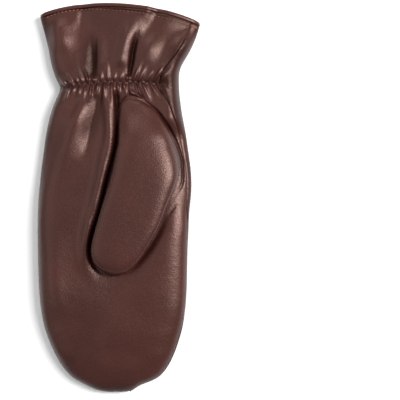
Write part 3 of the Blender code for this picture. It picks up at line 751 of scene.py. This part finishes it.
def beside_fine_folds(places):
    """True at the gathers and beside every fold too fine for the rest of the mesh."""
    x, y = places[:, 0], places[:, 1]
    near = np.abs(y - gather_line(x)) < gathered_reach
    for crease in palm_creases:
        reach = min(crease.little_reach, crease.thumb_reach)
        if reach < fine_reach:
            away = beside_path(x, y, rounded(crease.path, 1))[0]
            near |= np.abs(away) < fine_spread * reach * mm
    return near


palm = cage_of("palm_panel", "palm_leather")
iron_flat(palm, near_gathers, gather_ironing)
apply_modifier(palm, 'SUBSURF', levels=2, render_levels=2)
refine(palm, everywhere, plain_edge)
refine(palm, beside_fine_folds, fold_edge)
fill_out(palm)
fold_palm_side(palm)
let_out(palm)
two_sided(palm)
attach(palm, "root")
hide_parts("palm_panel")

# The back: one piece of the same leather under the hand, which comes round the thumb side onto the
# palm at the wrist. Three points stand out on it, each a narrow tuck whipped over with thread.
# Paths of the points, in millimetres on the plan, from the fingertips towards the cuff
BackPoint = namedtuple("BackPoint", "name path")
back_points = (
    BackPoint("little side",
              ((-29.0, -18), (-26.0, -5), (-22.5, 7), (-19.3, 19), (-16.3, 31), (-13.4, 43))),
    BackPoint("middle",
              ((-4.6, -28), (-4.4, -12), (-3.6, 0), (-2.6, 12), (-2.4, 24), (-2.35, 43))),
    BackPoint("thumb side",
              ((19.9, -18), (18.0, -5), (16.6, 7), (14.4, 19), (11.5, 31), (8.7, 43))),
)
whipping_pitch = 3.0 * mm
whipping_sway = 0.45 * mm
point_half_width = 1.1 * mm
point_groove_depth = 0.9 * mm
point_groove_reach = 0.5 * mm
# How much shade is painted into the points' grooves, darker and less glossy
point_groove_shade = 0.7
# How much shade is painted onto the wrist strip, darker and less glossy
wrist_strip_shade = 0.5
point_reach = 4 * mm
point_ironing = 8
point_edge = 0.5 * mm


def underside_share(places):
    """1 on the side that lies on the table."""
    return 1 - smoothstep(places[:, 2], 4 * mm, 6 * mm)


def beside_points(places):
    """1 on the underside near the three points."""
    x, y = places[:, 0], places[:, 1]
    away = np.min([np.abs(beside_path(x, y, rounded(point.path, 1))[0]) for point in back_points], axis=0)
    return bell(away, point_reach) * underside_share(places)


def close_to_points(places):
    """True where the mesh has to be fine enough for the points."""
    return beside_points(places) > 0.6


def point_grooves(x, y):
    """1 in the two grooves beside each point, which sway with the thread whipped round it."""
    grooves = np.zeros(len(x))
    for point in back_points:
        path = rounded(point.path)
        length = np.linalg.norm(np.diff(path, axis=0), axis=1).sum()
        away, share = beside_path(x, y, path)
        away -= whipping_sway * np.sin(2 * math.pi * share * length / whipping_pitch)
        ends = smoothstep(share, 0.0, 0.03) * (1 - smoothstep(share, 0.97, 1.0))
        grooves = np.maximum(grooves, ends * bell(np.abs(away) - point_half_width, point_groove_reach))
    return grooves


def press_grooves(piece, grooves):
    """Press the grooves up into the underside."""
    places = places_of(piece)
    places[:, 2] += point_groove_depth * grooves
    set_places(piece, places)


def wrist_strip(places):
    """1 on the strip that shows beside the palm at the wrist, where shade is painted, darker and duller."""
    along = smoothstep(places[:, 1], 34 * mm, 52 * mm) * before_cuff(places[:, 1])
    return along * (places[:, 0] > 0) * smoothstep(places[:, 2], 6 * mm, 10 * mm)


def deepen_painted_shade(piece, dark):
    """Paint at least this much shade, darker and duller, on a piece's leather at each point."""
    shade = np.empty(len(dark))
    piece.data.attributes["painted_fold_shade"].data.foreach_get("value", shade)
    piece.data.attributes["painted_fold_shade"].data.foreach_set("value", np.maximum(shade, dark))


back = cage_of("back_panel", "back_leather")
iron_flat(back, beside_points, point_ironing)
apply_modifier(back, 'SUBSURF', levels=2, render_levels=2)
refine(back, everywhere, plain_edge)
refine(back, close_to_points, point_edge)
fill_out(back)
fold_palm_side(back)
let_out(back)
places = places_of(back)
grooves = underside_share(places) * outer_share(back) * point_grooves(places[:, 0], places[:, 1])
press_grooves(back, grooves)
# Painted shade down in the points' grooves
deepen_painted_shade(back, point_groove_shade * grooves)
# Painted shade on the wrist strip: darker, duller leather there
deepen_painted_shade(back, wrist_strip_shade * wrist_strip(places_of(back)))
two_sided(back)
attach(back, "root")
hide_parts("back_panel")

# The thumb: a stall of the same leather folded over and sewn round the hole in the palm. It lies
# on the palm, so its underside is flattened and its edges are full.
thumb_left_edge = ((0.8, 53), (-2.9, 31), (-9.6, 4), (-16.1, -20), (-20.5, -38), (-16, -48))
thumb_shift = 2.1 * mm
thumb_edge_reach = 8 * mm
thumb_groove_depth = 0.9 * mm
thumb_groove_reach = 0.9 * mm
crown_base = 19.0 * mm
crown_rise = 11.4 * mm
crown_fullness = 2.2


def shape_thumb(piece):
    """Bring the stall's left edge and free end in, sink its seam, and make its crown flatter."""
    places = places_of(piece)
    away = beside_path(places[:, 0], places[:, 1], rounded(thumb_left_edge))[0]
    left_edge = bell(away, thumb_edge_reach) * (1 - smoothstep(places[:, 1], 34 * mm, 56 * mm))
    free_end = 1 - smoothstep(places[:, 1], -22 * mm, 6 * mm)
    places[:, 0] += thumb_shift * np.maximum(left_edge, free_end)
    away = beside_path(places[:, 0], places[:, 1], rounded(thumb_seam))[0]
    on_top = smoothstep(places[:, 2], 17 * mm, 21 * mm)
    places[:, 2] -= thumb_groove_depth * bell(away, thumb_groove_reach) * on_top
    height_share = np.clip((places[:, 2] - crown_base) / crown_rise, 0, 1)
    fade = 1 - smoothstep(places[:, 1], 38 * mm, 60 * mm)
    places[:, 2] += fade * crown_rise * (1 - (1 - height_share) ** crown_fullness - height_share)
    set_places(piece, places)


thumb = cage_of("thumb", "thumb_leather")
apply_modifier(thumb, 'SUBSURF', levels=3, render_levels=3)
shape_thumb(thumb)
thumb.data.materials.append(brown_leather)
only(thumb)
bpy.ops.object.shade_smooth()
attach(thumb, "root")
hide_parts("thumb")

# The hem: a narrow strip of leather bound round the mouth of the cuff, over the ends of the panels.
# Its edge is widened over the panels, and it rises with the palm where the mouth is filled in.
binding_overlap = 0.5 * mm
edge_facing = -0.2


def widen_binding(piece):
    """Bring the strip's edge a little farther over the ends of the panels."""
    places, normals = places_of(piece), normals_of(piece)
    places[:, 1] -= binding_overlap * (normals[:, 1] < edge_facing)
    set_places(piece, places)


def fill_mouth(piece):
    """Raise the strip where the two hollows at the mouth are filled in."""
    places = places_of(piece)
    lift = crease_heights(places[:, 0], places[:, 1], mouth_hollows)
    places[:, 2] += lift * palm_side_share(places[:, 2])
    set_places(piece, places)


hem = cage_of("hem_binding", "hem_binding_leather")
widen_binding(hem)
apply_modifier(hem, 'SUBSURF', levels=2, render_levels=2)
fill_mouth(hem)
hem.data.materials.append(brown_leather)
only(hem)
bpy.ops.object.shade_smooth()
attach(hem, "root")
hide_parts("hem_binding")

# The seams: the panels' edges are sewn together along the sides, the fingertips and the thumb's hole,
# so they meet there, and the leather beside them turns in.
widest_gap = 0.7 * mm
seam_depth = 0.5 * mm
seam_reach = 0.9 * mm
palm_tree, back_tree, thumb_tree = [tree_of(piece) for piece in (palm, back, thumb)]
close_seam(palm, back_tree, widest_gap)
close_seam(back, palm_tree, widest_gap)
roll_in(palm, [back_tree, thumb_tree], seam_depth, seam_reach)
roll_in(back, [palm_tree], seam_depth, seam_reach)

# The stitching: a row of tan thread along the mouth, through the binding's turned-in edge, on both
# sides of the cuff, and a short bar tack where the thumb-side seam ends at it.
stitch_pitch = 2.6 * mm
stitch_length = 1.75 * mm
thread_width = 0.42 * mm
bar_tack_across = 50.2
bar_tack_along = 115.0
bar_tack_slope = -0.4
bar_tack_steps = (-1.4, 0.0, 1.4)
bar_tack_rows = (-0.45, 0.0, 0.45)
ray_start = 100 * mm

thread = leather("tan_thread", dark=(0.10, 0.030, 0.018), light=(0.30, 0.125, 0.060),
                 roughness=0.55, bump_depth=0.02 * mm, gloss_tint=(1, 1, 1))

bpy.ops.mesh.primitive_uv_sphere_add(segments=12, ring_count=8, radius=0.5)
pattern = bpy.context.object
pattern.name = "hem_stitches"
bpy.ops.object.mode_set(mode='EDIT')
bpy.ops.mesh.select_all(action='SELECT')
bpy.ops.transform.resize(value=(stitch_length, thread_width, thread_width), center_override=(0, 0, 0))
bpy.ops.object.mode_set(mode='OBJECT')
bpy.ops.object.shade_smooth()
pattern.data.materials.append(thread)


def spots_along(path, pitch):
    """Places on the plan, one pitch apart, along a path."""
    points = rounded(path)
    lengths = np.concatenate(([0.0], np.cumsum(np.linalg.norm(np.diff(points, axis=0), axis=1))))
    steps = np.arange(pitch / 2, lengths[-1], pitch)
    across = np.interp(steps, lengths, points[:, 0])
    return np.column_stack((across, np.interp(steps, lengths, points[:, 1])))


def lay_stitch(spot, along, tree, from_above):
    """A copy of the stitch on the leather, over the spot or under it, turned along the row."""
    height = ray_start if from_above else -ray_start
    toward = Vector((0, 0, -1 if from_above else 1))
    place, normal, index, away = tree.ray_cast(Vector((*spot, height)), toward)
    ahead = Vector((*along, 0))
    ahead = (ahead - normal * ahead.dot(normal)).normalized()
    stitch = bpy.data.objects.new("stitch", pattern.data.copy())
    bpy.context.scene.collection.objects.link(stitch)
    turn = Matrix((ahead, normal.cross(ahead), normal)).transposed().to_4x4()
    stitch.matrix_world = Matrix.Translation(place) @ turn
    return stitch


stitches = []
row = spots_along(hem_stitch_row, stitch_pitch)
runs = np.gradient(row, axis=0)
for piece, from_above in ((palm, True), (back, False)):
    tree = tree_of(piece)
    stitches += [lay_stitch(spot, along, tree, from_above) for spot, along in zip(row, runs)]
back_tree = tree_of(back)
for offset in bar_tack_rows:
    for step in bar_tack_steps:
        spot_y = bar_tack_along + bar_tack_slope * step + offset
        spot = ((bar_tack_across + step) * mm, spot_y * mm)
        stitches.append(lay_stitch(spot, (1.0, bar_tack_slope), back_tree, True))
only(stitches[0])
for stitch in stitches:
    stitch.select_set(True)
bpy.ops.object.join()
hem_stitches = bpy.context.object
bpy.ops.object.transform_apply(location=True, rotation=True, scale=True)
bpy.data.objects.remove(pattern)
hem_stitches.name = "hem_stitches"
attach(hem_stitches, "root")
